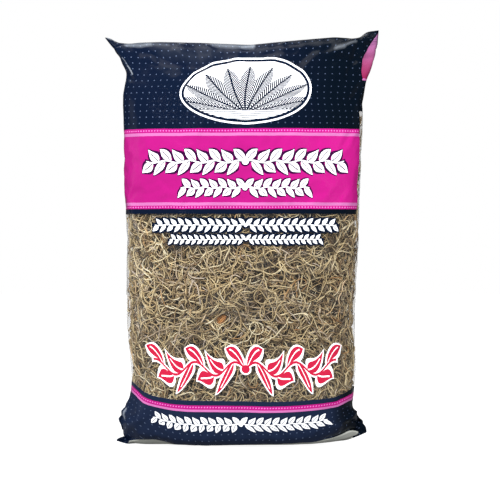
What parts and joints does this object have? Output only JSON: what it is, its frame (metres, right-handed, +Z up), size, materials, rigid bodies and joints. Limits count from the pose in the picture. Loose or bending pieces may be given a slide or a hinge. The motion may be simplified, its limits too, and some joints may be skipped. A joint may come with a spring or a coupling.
{
  "type": "film bag of spanish moss",
  "caption": "Sealed film bag with a clear window, packed with a tangled bunch of dried Spanish moss, standing on its base.",
  "frame": {"origin": "on the ground, under the middle of the bag's flat base", "axes": "+Z up the bag, -Y out of its front, +X to the right seen from the front"},
  "size_m": [0.238, 0.0782, 0.3609],
  "materials": {
    "printed_film": "glossy plastic film, printed navy and magenta above and below a clear window",
    "dried_moss": "dull dry plant fibre, tan to grey-brown",
    "bark": "dry orange-brown bark"
  },
  "bodies": {
    "root": {"film_bag": "printed_film", "moss_bunch": "dried_moss", "bark_fleck": "bark"}
  },
  "joints": []
}
